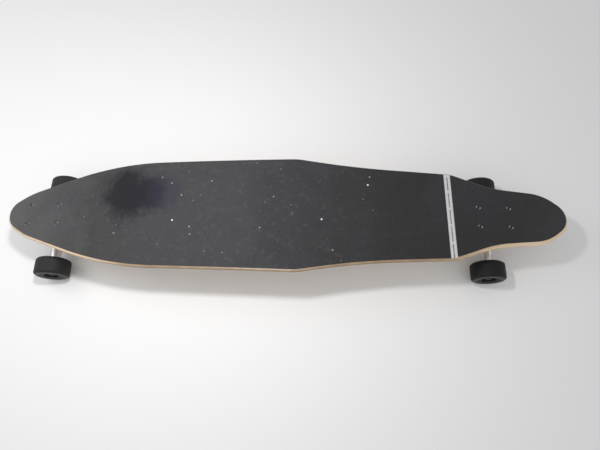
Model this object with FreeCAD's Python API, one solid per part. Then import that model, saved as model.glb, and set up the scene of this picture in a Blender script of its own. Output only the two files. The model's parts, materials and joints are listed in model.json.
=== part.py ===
import FreeCAD, Part
import math
import os

os.makedirs("parts", exist_ok=True)

# Longboard: an arched laminated deck on two turning trucks with four wheels.
# X runs from nose to tail, Y to the rider's right when facing the nose, Z up.
# All lengths are in millimetres and all angles in degrees.

V = FreeCAD.Vector

# deck outline: half of it as corners from nose to tail, in shares of the length and of the
# widest half, and how far each rounding reaches along the shorter side beside its corner
deck_length = 1162.6
widest_half = 122.7
outline_along_shares = [0, 0.0365, 0.193, 0.5226, 0.6257, 0.7986, 0.868, 0.9615, 1]
outline_half_shares = [0.171, 0.3945, 0.924, 1, 0.845, 0.762, 0.5265, 0.4425, 0.166]
outline_reach_shares = [0.466, 0.336, 0.497, 0.084, 0.7, 0.103, 0.352, 0.465, 0.488]

# deck side view and covering
deck_thickness = 11.0
rim_round_top = 1.6
rim_round_low = 4.0
end_slope = 4.2
seat_flat = 47.0
grip_thickness = 1.0
grip_margin = 2.0
grip_shift = 2.4
tail_grip_shift = 4.8
strip_from_tail = 249.6
strip_width = 13.6

# where the trucks sit, and their bolts
nose_overhang = 76.5
tail_overhang = 152.1
bolt_spread_long = 63.5
bolt_spread_wide = 41.3
bolt_radius = 2.4
bolt_head_radius = 4.75
bolt_head_height = 2.5
bolt_tip_length = 1.6
bolt_drive_width = 1.1
bolt_drive_length = 5.0
bolt_drive_depth = 1.4
bolt_hole_radius = 2.65
grip_hole_radius = 5.2
bolt_nut_flats = 9.5
bolt_nut_height = 5.4

# truck base
riser_thickness = 3.0
riser_margin = 1.0
plate_length = 92.0
plate_width = 58.0
plate_thickness = 7.0
plate_corner_radius = 13.0
plate_edge_round = 1.6
wedge_half = 13.6
wedge_back = 38.0
wedge_foot = 17.0
wedge_heel = 22.0
wedge_depth = 10.0
strut_half = 10.0
strut_back = 43.0
strut_top = 14.0
strut_side = 7.0
casting_round = 1.8

# steering line: it leans from the pivot up to the ring and outward
steer_angle = 50.0
axle_drop = 64.2
axle_shift = 2.6
axle_back = 28.0
axle_rake = 20.0
pivot_reach = 41.0

# pivot and its cup
pivot_radius = 6.0
pivot_root_radius = 9.0
pivot_stem = 13.0
pivot_fit = 0.06
pivot_mouth_flare = 1.5
cup_radius = 8.5
cup_floor = 1.5
cup_lip = 1.4
boss_radius = 11.5
boss_floor = 2.5

# kingpin, bushings and washers, stacked along the kingpin
kingpin_radius = 4.76
kingpin_fit = 0.1
kingpin_head_flats = 14.2
kingpin_head_height = 6.0
kingpin_head_depth = 9.0
kingpin_head_room = 9.2
kingpin_tip = 2.2
kingpin_nut_flats = 14.2
kingpin_nut_height = 7.5
bushing_radius = 12.5
bushing_small_radius = 10.5
bushing_height = 14.0
bushing_waist = 0.8
washer_thickness = 1.5
washer_radius = 12.9
washer_lip = 1.2
seat_room = 14.6

# hanger
ring_radius = 18.5
ring_half = 5.0
ring_web_half = 2.5
ring_bore = 8.0
ring_seat_fit = 0.2
hanger_tube_radius = 12.5
hanger_tube_half = 48.0
hanger_end_radius = 9.75
hanger_end_half = 76.0
hanger_end_round = 1.2
web_half = 13.0
web_near = 14.5
web_front = 17.0
web_low = 22.0
web_far = 37.0
web_far_low = 17.0
web_heel = 36.0
web_heel_low = 7.0
web_toe = 33.0
wing_half = 52.0
wing_top_half = 16.0
wing_top = 3.0
wing_low = 12.0
wing_near = 22.0
wing_far = 32.0

# axle and the pieces threaded on it
axle_radius = 4.0
axle_tip = 1.2
axle_end_chamfer = 0.8
speed_ring_thickness = 0.8
speed_ring_radius = 5.6
spacer_length = 10.0
spacer_radius = 5.6
axle_fit = 0.05
axle_nut_flats = 12.7
axle_nut_height = 8.0

# ball bearing
bearing_radius = 11.0
bearing_width = 7.0
bearing_inner_land = 5.9
bearing_outer_land = 9.1
bearing_pitch = 7.5
ball_radius = 1.98
ball_count = 7
groove_fit = 0.07
cage_inner = 6.6
cage_outer = 8.4
cage_half = 2.5
cage_fit = 0.16
shield_inner = 6.25
shield_outer = 9.6
shield_thickness = 0.4

# wheel; its tread stands out from the bearings' middle by the offset
wheel_radius = 36.0
wheel_width = 38.0
wheel_offset = 6.0
tread_half = 15.0
lip_radius = 3.6
tread_lip_radius = 5.0
face_drop = 1.6
recess_radius = 15.5
recess_round = 1.8
core_radius = 14.0
core_shoulder = 9.0

# cutting shapes run past the material by this much
overrun = 6.0

# values that follow from the sizes above
slope = math.radians(end_slope)
lean = math.radians(steer_angle)
nose_end = -deck_length / 2
tail_end = deck_length / 2
nose_truck_x = nose_end + nose_overhang
tail_truck_x = tail_end - tail_overhang
arch_mid = (nose_truck_x + tail_truck_x) / 2
half_base = (tail_truck_x - nose_truck_x) / 2
arch_half = half_base - seat_flat
arch_radius = arch_half / math.sin(slope)
axle_depth = axle_drop + riser_thickness
axle_lead = axle_depth * math.tan(slope) + axle_shift
seat_height = wheel_radius + axle_lead * math.sin(slope) + axle_depth * math.cos(slope)
arch_centre = seat_height - arch_radius * math.cos(slope) + seat_flat * math.tan(slope)
outer_end = math.hypot(deck_length, deck_thickness)
tall_reach = seat_height + half_base

steer_dir = V(math.cos(lean), 0, math.sin(lean))
pin_dir = V(math.sin(lean), 0, -math.cos(lean))
axle_point = V(axle_lead, 0, -axle_depth)
ring_point = axle_point + steer_dir * axle_back - pin_dir * axle_rake
pivot_point = ring_point - steer_dir * pivot_reach

stack_start = hanger_end_half + speed_ring_thickness
stack_end = stack_start + 2 * bearing_width + spacer_length
wheel_mid = (stack_start + stack_end) / 2
bearing_mid = (spacer_length + bearing_width) / 2
axle_half = stack_end + speed_ring_thickness + axle_nut_height + axle_tip
seat_back = ring_web_half + bushing_height + washer_thickness
nut_front = seat_back
plate_low = -(riser_thickness + plate_thickness)
plate_mid = -(riser_thickness + plate_thickness / 2)


# basic shapes

def rod(start, direction, radius, length):
    return Part.makeCylinder(radius, length, start, direction)


def closed_face(edges):
    return Part.Face(Part.Wire(edges))


def straight_wire(points):
    return Part.makePolygon(points + points[:1])


# Closed outline through corner points, each rounded by its own radius.
def rounded_edges(corners):
    starts = []
    stops = []
    arcs = []
    count = len(corners)
    for index in range(count):
        point, radius = corners[index]
        before = (corners[index - 1][0] - point).normalize()
        after = (corners[(index + 1) % count][0] - point).normalize()
        half = before.getAngle(after) / 2
        if radius == 0:
            starts.append(point)
            stops.append(point)
            arcs.append(None)
            continue
        reach = radius / math.tan(half)
        middle = (before + after).normalize()
        crown = point + middle * (radius / math.sin(half) - radius)
        starts.append(point + before * reach)
        stops.append(point + after * reach)
        arcs.append(Part.Arc(starts[-1], crown, stops[-1]).toShape())
    edges = []
    for index in range(count):
        if arcs[index] is not None:
            edges.append(arcs[index])
        edges.append(Part.makeLine(stops[index], starts[(index + 1) % count]))
    return edges


def hex_points(flats, start, direction):
    side = V(0, 1, 0).cross(direction)
    if side.Length == 0:
        side = V(1, 0, 0)
    side.normalize()
    other = direction.cross(side)
    reach = flats / math.sqrt(3)
    points = []
    for index in range(6):
        turn = index * math.pi / 3
        points.append(start + side * (reach * math.cos(turn)) + other * (reach * math.sin(turn)))
    return points


# Hexagonal nut or head, with its corners turned down to a cone at the outer face.
def hex_block(flats, height, start, direction):
    block = Part.Face(straight_wire(hex_points(flats, start, direction))).extrude(direction * height)
    cap = Part.makeCone(flats / 2 + height * math.sqrt(3), flats / 2, height, start, direction)
    return block.common(cap)


# Solid turned about Y from a profile given as radius and distance along Y.
def turned(profile, middle):
    corners = []
    for radius, along, rounding in profile:
        corners.append((V(radius, along, 0), rounding))
    ring = closed_face(rounded_edges(corners)).revolve(V(0, 0, 0), V(0, 1, 0), 360)
    ring.translate(V(0, middle, 0))
    return ring


def tube(inner, outer, low, high):
    return turned([(inner, low, 0), (outer, low, 0), (outer, high, 0), (inner, high, 0)], 0)


# Prism whose edges around both end faces are rounded.
def soft_prism(points, travel, rounding):
    block = Part.Face(straight_wire(points)).extrude(travel)
    axis = V(travel).normalize()
    rim = []
    for edge in block.Edges:
        run = edge.Vertexes[1].Point - edge.Vertexes[0].Point
        if abs(run.normalize().dot(axis)) < 0.5:
            rim.append(edge)
    return block.makeFillet(rounding, rim)


# frames

# Point of the truck, measured along the steering line and along the kingpin.
def steer_point(along, down):
    return ring_point + steer_dir * along + pin_dir * down


# Moves a truck piece from its own frame, below the deck, to the nose or the tail.
def truck_place(shape, tail):
    placed = shape.copy()
    turn = FreeCAD.Rotation(V(0, 1, 0), end_slope)
    seat_x = tail_truck_x
    if not tail:
        turn = FreeCAD.Rotation(V(0, 0, 1), 180).multiply(turn)
        seat_x = nose_truck_x
    placed.Placement = FreeCAD.Placement(V(seat_x, 0, seat_height), turn).multiply(placed.Placement)
    return placed


def bolt_spots():
    spots = []
    for along in (-bolt_spread_long / 2, bolt_spread_long / 2):
        for across in (-bolt_spread_wide / 2, bolt_spread_wide / 2):
            spots.append((along, across))
    return spots


# deck and its covering

# Rounding radius at a corner whose arc reaches a share of the shorter side beside it.
def reach_radius(before, point, after, share):
    back = before - point
    ahead = after - point
    return share * min(back.Length, ahead.Length) * math.tan(back.getAngle(ahead) / 2)


def outline_corners():
    points = []
    for along, half in zip(outline_along_shares, outline_half_shares):
        points.append(V(nose_end + along * deck_length, half * widest_half, 0))
    points += [V(point.x, -point.y, 0) for point in reversed(points)]
    shares = outline_reach_shares + outline_reach_shares[::-1]
    corners = []
    for index, point in enumerate(points):
        after = points[(index + 1) % len(points)]
        corners.append((point, reach_radius(points[index - 1], point, after, shares[index])))
    return corners


# Upright prism over the deck outline, drawn in from the edge by inset.
def outline_prism(inset):
    wire = Part.Wire(rounded_edges(outline_corners()))
    if inset > 0:
        wire = wire.makeOffset2D(-inset)
    return Part.Face(wire).extrude(V(0, 0, tall_reach))


# One side of the arch, offset square to the deck's underside: line, arc, line.
def arch_path(offset):
    radius = arch_radius + offset
    run = V(math.cos(slope), 0, -math.sin(slope)) * outer_end
    back = V(-run.x, 0, run.z)
    right = V(arch_mid + radius * math.sin(slope), 0, arch_centre + radius * math.cos(slope))
    left = V(arch_mid - radius * math.sin(slope), 0, right.z)
    top = V(arch_mid, 0, arch_centre + radius)
    return left + back, left, top, right, right + run


# Layer of the arch between two offsets from the deck's underside.
def arch_layer(low, high):
    under = arch_path(low)
    over = arch_path(high)
    edges = [
        Part.makeLine(under[0], under[1]),
        Part.Arc(under[1], under[2], under[3]).toShape(),
        Part.makeLine(under[3], under[4]),
        Part.makeLine(under[4], over[4]),
        Part.makeLine(over[4], over[3]),
        Part.Arc(over[3], over[2], over[1]).toShape(),
        Part.makeLine(over[1], over[0]),
        Part.makeLine(over[0], under[0]),
    ]
    layer = closed_face(edges).extrude(V(0, 2 * (widest_half + overrun), 0))
    layer.translate(V(0, -(widest_half + overrun), 0))
    return layer


def deck_bolt_cuts():
    cuts = []
    for along, across in bolt_spots():
        foot = V(along, across, -overrun)
        cuts.append(rod(foot, V(0, 0, 1), bolt_hole_radius, deck_thickness + 2 * overrun))
        sink = Part.makeCone(bolt_radius, bolt_head_radius, bolt_head_height,
                             V(along, across, deck_thickness - bolt_head_height), V(0, 0, 1))
        cuts.append(sink)
    return cuts


def grip_bolt_cuts():
    cuts = []
    for along, across in bolt_spots():
        foot = V(along, across, deck_thickness - overrun)
        cuts.append(rod(foot, V(0, 0, 1), grip_hole_radius, grip_thickness + 2 * overrun))
    return cuts


def both_ends(cuts):
    placed = []
    for tail in (False, True):
        placed += [truck_place(cut, tail) for cut in cuts]
    return placed


# Edges where the side walls meet the top, or the underside when upward is -1.
def rim_edges(block, upward):
    rim = []
    for edge in block.Edges:
        walls = 0
        faces = 0
        for face in block.ancestorsOfType(edge, Part.Face):
            u_low, u_high, v_low, v_high = face.ParameterRange
            normal = face.normalAt((u_low + u_high) / 2, (v_low + v_high) / 2)
            walls += abs(normal.z) < 0.5
            faces += normal.z * upward > 0.5
        if walls == 1 and faces == 1:
            rim.append(edge)
    return rim


def deck_shape():
    deck = outline_prism(0).common(arch_layer(0, deck_thickness))
    deck = deck.makeFillet(rim_round_top, rim_edges(deck, 1))
    deck = deck.makeFillet(rim_round_low, rim_edges(deck, -1))
    return deck.cut(both_ends(deck_bolt_cuts())).removeSplitter()


# Covering laid off centre by shift, and trimmed just inside the rim's rounding.
def grip_sheet(shift):
    layer = arch_layer(deck_thickness, deck_thickness + grip_thickness)
    room = outline_prism(grip_margin)
    laid = room.translated(V(0, shift, 0))
    return room.common(laid).common(layer)


# Slice of the covering between two places along the board.
def grip_slice(sheet, low, high):
    wide = widest_half + overrun
    block = Part.makeBox(high - low, 2 * wide, tall_reach, V(low, -wide, 0))
    return sheet.common(block)


def grip_shapes():
    sheet = grip_sheet(grip_shift)
    tail_sheet = grip_sheet(tail_grip_shift)
    strip_low = tail_end - strip_from_tail
    strip_high = strip_low + strip_width
    main = grip_slice(sheet, nose_end - overrun, strip_low)
    strip = grip_slice(sheet, strip_low, strip_high)
    rear = grip_slice(tail_sheet, strip_high, tail_end + overrun)
    holes = both_ends(grip_bolt_cuts())
    return main.cut(holes), strip, rear.cut(holes)


# fixed side of a truck, drawn below the deck with Z along the deck's normal

def rounded_plate(length, width, corner, low, high):
    corners = []
    for x, y in ((1, 1), (-1, 1), (-1, -1), (1, -1)):
        corners.append((V(x * length / 2, y * width / 2, low), corner))
    return closed_face(rounded_edges(corners)).extrude(V(0, 0, high - low))


def plate_bolt_cuts():
    cuts = []
    for along, across in bolt_spots():
        foot = V(along, across, plate_low - overrun)
        cuts.append(rod(foot, V(0, 0, 1), bolt_hole_radius, riser_thickness + plate_thickness + 2 * overrun))
    return cuts


def riser_pad():
    pad = rounded_plate(plate_length + 2 * riser_margin, plate_width + 2 * riser_margin,
                        plate_corner_radius + riser_margin, -riser_thickness, 0)
    return pad.cut(plate_bolt_cuts())


def plate_block():
    plate = rounded_plate(plate_length, plate_width, plate_corner_radius, plate_low, -riser_thickness)
    rim = [edge for edge in plate.Edges if edge.BoundBox.ZMax < plate_mid]
    return plate.makeFillet(plate_edge_round, rim)


# Place on the bushing seat's plane at a given height.
def seat_line(height):
    foot = steer_point(0, -seat_back)
    return foot + steer_dir * ((height - foot.z) / steer_dir.z)


def wedge_block():
    shift = V(0, -wedge_half, 0)
    points = [
        seat_line(plate_mid),
        steer_point(-wedge_foot, -seat_back),
        steer_point(-wedge_heel, -seat_back - wedge_depth),
        V(-wedge_back, 0, plate_mid),
    ]
    return soft_prism([point + shift for point in points], V(0, 2 * wedge_half, 0), casting_round)


def strut_block():
    shift = V(0, -strut_half, 0)
    boss_end = pivot_reach + pivot_radius + cup_floor + boss_floor
    points = [
        seat_line(plate_mid),
        steer_point(-strut_top, -seat_back),
        steer_point(-pivot_reach, -strut_side),
        steer_point(-boss_end, -strut_side),
        V(-strut_back, 0, plate_mid),
    ]
    return soft_prism([point + shift for point in points], V(0, 2 * strut_half, 0), casting_round)


def pivot_boss():
    depth = pivot_radius + cup_floor + boss_floor
    boss = rod(pivot_point - steer_dir * depth, steer_dir, boss_radius, depth)
    circles = [edge for edge in boss.Edges if edge.Closed]
    far = min(circles, key=lambda edge: edge.BoundBox.Center.z)
    return boss.makeFillet(casting_round, [far])


def baseplate():
    body = plate_block().fuse([wedge_block(), strut_block(), pivot_boss()])
    head_seat = -seat_back - kingpin_head_depth
    long_reach = plate_length
    cuts = plate_bolt_cuts()
    cuts.append(rod(steer_point(0, -seat_back), pin_dir, seat_room, long_reach))
    cuts.append(rod(steer_point(0, -long_reach), pin_dir, kingpin_radius + kingpin_fit, long_reach))
    cuts.append(rod(steer_point(0, head_seat), pin_dir * -1, kingpin_head_room, long_reach))
    cup_depth = pivot_radius + cup_floor
    cuts.append(rod(pivot_point - steer_dir * cup_depth, steer_dir, cup_radius, cup_depth + pivot_reach / 2))
    return body.cut(cuts).removeSplitter()


def pivot_cup():
    depth = pivot_radius + cup_floor
    body = rod(pivot_point - steer_dir * depth, steer_dir, cup_radius, depth + cup_lip)
    ball = Part.makeSphere(pivot_radius + pivot_fit, pivot_point)
    mouth = Part.makeCone(pivot_radius + pivot_fit, pivot_radius + pivot_mouth_flare, cup_lip,
                          pivot_point, steer_dir)
    return body.cut([ball, mouth])


def kingpin():
    head_seat = -seat_back - kingpin_head_depth
    length = -head_seat + nut_front + kingpin_nut_height + kingpin_tip
    shank = rod(steer_point(0, head_seat), pin_dir, kingpin_radius, length)
    head = hex_block(kingpin_head_flats, kingpin_head_height, steer_point(0, head_seat), pin_dir * -1)
    return shank.fuse(head).removeSplitter()


def kingpin_nut():
    nut = hex_block(kingpin_nut_flats, kingpin_nut_height, steer_point(0, nut_front), pin_dir)
    return nut.cut(rod(steer_point(0, 0), pin_dir, kingpin_radius + kingpin_fit, plate_length))


# Bushing from its ring end to its washer end, waisted a little like a barrel.
def bushing(start, direction, wide, narrow):
    half = bushing_height / 2
    middle = (wide + narrow) / 2 - bushing_waist
    lower = Part.makeCone(wide, middle, half, start, direction)
    upper = Part.makeCone(middle, narrow, half, start + direction * half, direction)
    foot = start - direction * overrun
    bore = rod(foot, direction, kingpin_radius + kingpin_fit, bushing_height + 2 * overrun)
    return lower.fuse(upper).cut(bore)


def board_bushing():
    return bushing(steer_point(0, -ring_web_half), pin_dir * -1, bushing_radius, bushing_radius)


def road_bushing():
    return bushing(steer_point(0, ring_web_half), pin_dir, bushing_radius, bushing_small_radius)


# Cupped washer: a disc with a low lip around the bushing's end.
def cup_washer(seat, direction, bore_room):
    disc = rod(seat, direction, washer_radius + washer_lip, washer_thickness + washer_lip)
    disc = disc.cut(rod(seat + direction * washer_thickness, direction, bore_room, washer_lip + overrun))
    return disc.cut(rod(seat - direction * overrun, direction, kingpin_radius + kingpin_fit, plate_length))


def bushing_washers():
    upper = cup_washer(steer_point(0, -seat_back), pin_dir, washer_radius)
    lower = cup_washer(steer_point(0, nut_front), pin_dir * -1, washer_radius)
    return Part.makeCompound([upper, lower])


def mounting_bolt():
    top = deck_thickness
    bottom = plate_low - bolt_nut_height - bolt_tip_length
    shank = rod(V(0, 0, bottom), V(0, 0, 1), bolt_radius, top - bottom)
    head = Part.makeCone(bolt_radius, bolt_head_radius, bolt_head_height,
                         V(0, 0, top - bolt_head_height), V(0, 0, 1))
    body = shank.fuse(head)
    for length, width in ((bolt_drive_length, bolt_drive_width), (bolt_drive_width, bolt_drive_length)):
        corner = V(-length / 2, -width / 2, top - bolt_drive_depth)
        body = body.cut(Part.makeBox(length, width, bolt_drive_depth + overrun, corner))
    return body.removeSplitter()


def mounting_nut():
    nut = hex_block(bolt_nut_flats, bolt_nut_height, V(0, 0, plate_low), V(0, 0, -1))
    return nut.cut(rod(V(0, 0, plate_low + overrun), V(0, 0, -1), bolt_radius, plate_length))


def at_bolts(shape):
    copies = []
    for along, across in bolt_spots():
        copies.append(shape.translated(V(along, across, 0)))
    return Part.makeCompound(copies)


# turning side of a truck

def hanger_ring():
    ring = rod(steer_point(0, -ring_half), pin_dir, ring_radius, 2 * ring_half)
    return ring.makeFillet(casting_round / 2, [edge for edge in ring.Edges if edge.Closed])


def hanger_ring_cuts():
    seat = bushing_radius + ring_seat_fit
    return [
        rod(steer_point(0, ring_web_half), pin_dir, seat, ring_half + overrun),
        rod(steer_point(0, -ring_web_half), pin_dir * -1, seat, ring_half + overrun),
        rod(steer_point(0, -ring_half - overrun), pin_dir, ring_bore, 2 * (ring_half + overrun)),
    ]


def hanger_web():
    shift = V(0, -web_half, 0)
    points = [
        steer_point(-web_near, -ring_half),
        steer_point(-web_near, ring_half),
        steer_point(-web_front, axle_rake),
        steer_point(-axle_back, web_low),
        steer_point(-web_far, web_far_low),
        steer_point(-web_heel, web_heel_low),
        steer_point(-web_toe, -ring_half),
    ]
    return soft_prism([point + shift for point in points], V(0, 2 * web_half, 0), casting_round)


# Spreading plate between the ring and the long tube that holds the axle.
def hanger_wing():
    spots = [
        (-wing_top_half, -wing_top),
        (wing_top_half, -wing_top),
        (wing_half, wing_low),
        (wing_half, axle_rake),
        (-wing_half, axle_rake),
        (-wing_half, wing_low),
    ]
    points = [steer_point(-wing_far, down) + V(0, across, 0) for across, down in spots]
    return soft_prism(points, steer_dir * (wing_far - wing_near), casting_round)


def hanger_pivot():
    stem = Part.makeCone(pivot_radius, pivot_root_radius, pivot_stem, pivot_point, steer_dir)
    return stem.fuse(Part.makeSphere(pivot_radius, pivot_point))


# Long tube for the axle, tapering to both ends; it is drilled out later.
def hanger_tube():
    pilot = axle_radius / 2
    profile = [
        (pilot, -hanger_end_half, 0),
        (hanger_end_radius, -hanger_end_half, hanger_end_round),
        (hanger_tube_radius, -hanger_tube_half, 0),
        (hanger_tube_radius, hanger_tube_half, 0),
        (hanger_end_radius, hanger_end_half, hanger_end_round),
        (pilot, hanger_end_half, 0),
    ]
    body = turned(profile, 0)
    body.translate(axle_point)
    return body


def hanger():
    body = hanger_tube().fuse([hanger_ring(), hanger_web(), hanger_wing(), hanger_pivot()])
    bore = rod(axle_point - V(0, axle_half, 0), V(0, 1, 0), axle_radius, 2 * axle_half)
    return body.cut(hanger_ring_cuts() + [bore]).removeSplitter()


def axle():
    bar = rod(axle_point - V(0, axle_half, 0), V(0, 1, 0), axle_radius, 2 * axle_half)
    return bar.makeChamfer(axle_end_chamfer, [edge for edge in bar.Edges if edge.Closed])


# Copies of a piece at both ends of the axle, facing away from each other.
def both_sides(shape):
    left = shape.copy()
    left.rotate(V(0, 0, 0), V(0, 0, 1), 180)
    pair = Part.makeCompound([left, shape])
    pair.translate(axle_point)
    return pair


def axle_nuts():
    start = stack_end + speed_ring_thickness
    nut = hex_block(axle_nut_flats, axle_nut_height, V(0, start, 0), V(0, 1, 0))
    return both_sides(nut.cut(rod(V(0, 0, 0), V(0, 1, 0), axle_radius, axle_half + overrun)))


def speed_rings():
    bore = axle_radius + axle_fit
    inner = tube(bore, speed_ring_radius, hanger_end_half, stack_start)
    outer = tube(bore, speed_ring_radius, stack_end, stack_end + speed_ring_thickness)
    return both_sides(Part.makeCompound([inner, outer]))


def bearing_spacers():
    start = stack_start + bearing_width
    return both_sides(tube(axle_radius + axle_fit, spacer_radius, start, start + spacer_length))


# ball bearing, drawn about Y with its middle at the origin

def groove_ring():
    return Part.makeTorus(bearing_pitch, ball_radius + groove_fit, V(0, 0, 0), V(0, 1, 0))


def inner_ring():
    half = bearing_width / 2
    return tube(axle_radius + axle_fit, bearing_inner_land, -half, half).cut(groove_ring())


def outer_ring():
    half = bearing_width / 2
    step = half - shield_thickness
    profile = [
        (bearing_radius, -half, 0),
        (bearing_radius, half, 0),
        (shield_outer, half, 0),
        (shield_outer, step, 0),
        (bearing_outer_land, step, 0),
        (bearing_outer_land, -step, 0),
        (shield_outer, -step, 0),
        (shield_outer, -half, 0),
    ]
    return turned(profile, 0).cut(groove_ring())


def shields():
    half = bearing_width / 2
    front = tube(shield_inner, shield_outer, half - shield_thickness, half)
    back = tube(shield_inner, shield_outer, -half, shield_thickness - half)
    return Part.makeCompound([front, back])


def ball_spots():
    spots = []
    for index in range(ball_count):
        turn = 2 * math.pi * index / ball_count
        spots.append(V(bearing_pitch * math.cos(turn), 0, bearing_pitch * math.sin(turn)))
    return spots


def ball_set():
    cage = tube(cage_inner, cage_outer, -cage_half, cage_half)
    pockets = [rod(V(0, 0, 0), spot, ball_radius + cage_fit, bearing_radius) for spot in ball_spots()]
    cage = cage.cut(pockets)
    balls = [Part.makeSphere(ball_radius, spot) for spot in ball_spots()]
    return Part.makeCompound([cage] + balls)


def bearing_pair(shape):
    near = shape.translated(V(0, -bearing_mid, 0))
    far = shape.translated(V(0, bearing_mid, 0))
    return Part.makeCompound([near, far])


def inner_rings():
    pair = bearing_pair(inner_ring())
    pair.translate(V(0, wheel_mid, 0))
    return both_sides(pair)


# wheel, drawn about Y with its bearings' middle at the origin and its outside towards +Y

def wheel_tyre():
    inner = wheel_offset - wheel_width / 2
    outer = wheel_offset + wheel_width / 2
    core_end = spacer_length / 2 + bearing_width
    profile = [
        (core_radius, -core_end, 0),
        (recess_radius, inner + face_drop, 0),
        (wheel_radius - tread_lip_radius, inner, lip_radius),
        (wheel_radius, wheel_offset - tread_half, tread_lip_radius),
        (wheel_radius, wheel_offset + tread_half, tread_lip_radius),
        (wheel_radius - tread_lip_radius, outer, lip_radius),
        (recess_radius, outer - face_drop, recess_round),
        (core_radius, core_end, 0),
    ]
    return turned(profile, 0)


def wheel_core():
    stop = spacer_length / 2
    core_end = stop + bearing_width
    profile = [
        (core_shoulder, -stop, 0),
        (bearing_radius, -stop, 0),
        (bearing_radius, -core_end, 0),
        (core_radius, -core_end, 0),
        (core_radius, core_end, 0),
        (bearing_radius, core_end, 0),
        (bearing_radius, stop, 0),
        (core_shoulder, stop, 0),
    ]
    return turned(profile, 0)


def at_wheel(shape, tail, right):
    placed = shape.copy()
    placed.translate(V(0, wheel_mid, 0))
    if right != tail:
        placed.rotate(V(0, 0, 0), V(0, 0, 1), 180)
    placed.translate(axle_point)
    return truck_place(placed, tail)


def save(shape, name):
    shape.exportStep("parts/" + name + ".step")


def save_deck():
    main, strip, rear = grip_shapes()
    save(deck_shape(), "deck")
    save(main, "grip_tape_main")
    save(strip, "grip_strip")
    save(rear, "grip_tape_tail")


def save_trucks():
    pieces = {
        "riser_pad": riser_pad(),
        "baseplate": baseplate(),
        "pivot_cup": pivot_cup(),
        "kingpin": kingpin(),
        "kingpin_nut": kingpin_nut(),
        "board_bushing": board_bushing(),
        "road_bushing": road_bushing(),
        "bushing_washers": bushing_washers(),
        "mounting_bolts": at_bolts(mounting_bolt()),
        "mounting_nuts": at_bolts(mounting_nut()),
        "hanger": hanger(),
        "axle": axle(),
        "axle_nuts": axle_nuts(),
        "speed_rings": speed_rings(),
        "bearing_spacers": bearing_spacers(),
        "bearing_inner_rings": inner_rings(),
    }
    for end, tail in (("nose", False), ("tail", True)):
        for name, shape in pieces.items():
            save(truck_place(shape, tail), end + "_" + name)


def save_wheels():
    pieces = {
        "tyre": wheel_tyre(),
        "wheel_core": wheel_core(),
        "bearing_outer_rings": bearing_pair(outer_ring()),
        "bearing_shields": bearing_pair(shields()),
        "bearing_ball_sets": bearing_pair(ball_set()),
    }
    for end, tail in (("nose", False), ("tail", True)):
        for hand, right in (("left", False), ("right", True)):
            for name, shape in pieces.items():
                save(at_wheel(shape, tail, right), end + "_" + hand + "_" + name)


save_deck()
save_trucks()
save_wheels()
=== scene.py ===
import bpy
import json
import math
import numpy as np
from mathutils import Matrix, Vector


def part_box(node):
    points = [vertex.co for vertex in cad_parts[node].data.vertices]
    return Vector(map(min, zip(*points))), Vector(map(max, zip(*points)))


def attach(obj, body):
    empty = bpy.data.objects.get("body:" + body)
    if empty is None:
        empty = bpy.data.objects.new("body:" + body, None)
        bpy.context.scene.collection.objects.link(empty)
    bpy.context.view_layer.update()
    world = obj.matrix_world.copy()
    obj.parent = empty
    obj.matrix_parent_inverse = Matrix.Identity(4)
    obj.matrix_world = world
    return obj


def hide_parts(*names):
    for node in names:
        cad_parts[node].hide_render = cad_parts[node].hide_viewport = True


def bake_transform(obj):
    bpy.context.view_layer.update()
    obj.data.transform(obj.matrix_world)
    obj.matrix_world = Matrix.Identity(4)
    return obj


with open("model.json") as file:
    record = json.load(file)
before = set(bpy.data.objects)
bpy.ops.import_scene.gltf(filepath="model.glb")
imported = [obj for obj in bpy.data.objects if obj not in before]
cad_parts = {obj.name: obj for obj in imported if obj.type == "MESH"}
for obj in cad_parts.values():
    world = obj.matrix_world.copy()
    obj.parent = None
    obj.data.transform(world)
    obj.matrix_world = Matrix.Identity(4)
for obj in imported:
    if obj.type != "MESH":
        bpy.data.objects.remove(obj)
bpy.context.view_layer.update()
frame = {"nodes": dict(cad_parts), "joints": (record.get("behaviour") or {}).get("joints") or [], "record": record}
nodes = frame["nodes"]
record = frame["record"]
jointOf = {joint["name"]: joint for joint in frame["joints"]}
mountOf = {mount["name"]: mount for mount in record["mounts"]}
slotOf = {part["node"]: part["material_slot"] for part in record["subparts"]}
sideOf = {"nose": -1.0, "tail": 1.0}
handOf = {"left": -1.0, "right": 1.0}
ends = tuple(sideOf)
wheels = [end + "_" + hand for end in ends for hand in handOf]

# Where things are, read from the frame: the deck's slope at its ends and the truck seats.
deckShape = {"thickness": 0.011, "covering": 0.001, "flat": 0.047, "boltSpread": (0.0635, 0.0413)}
tailNormal = np.array(mountOf["tail_standing_face"]["axis"], float)
tailTop = np.array(mountOf["tail_standing_face"]["pos_m"], float)
tailSeat = tailTop - tailNormal * (deckShape["thickness"] + deckShape["covering"])
endSlope = math.atan2(tailNormal[0], tailNormal[2])
axleX = {end: jointOf[end + "_left_spin"]["pos_m"][0] for end in ends}
seatX = {"tail": tailSeat[0], "nose": axleX["nose"] + axleX["tail"] - tailSeat[0]}
seatZ = tailSeat[2]
archMid = (seatX["nose"] + seatX["tail"]) / 2
archHalf = (seatX["tail"] - seatX["nose"]) / 2 - deckShape["flat"]
archRadius = archHalf / math.sin(endSlope)
archCentre = seatZ - archRadius * math.cos(endSlope) + deckShape["flat"] * math.tan(endSlope)


# Small wrappers for shader nodes. A socket is linked, any other value is set.

def addNode(tree, kind, inputs=None, **fields):
    item = tree.nodes.new("ShaderNode" + kind)
    for name, value in fields.items():
        setattr(item, name, value)
    for key, value in (inputs or {}).items():
        if isinstance(value, bpy.types.NodeSocket):
            tree.links.new(value, item.inputs[key])
        else:
            item.inputs[key].default_value = value
    return item


def calc(tree, operation, first, second=None):
    given = {0: first}
    if second is not None:
        given[1] = second
    return addNode(tree, "Math", given, operation=operation).outputs[0]


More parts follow.
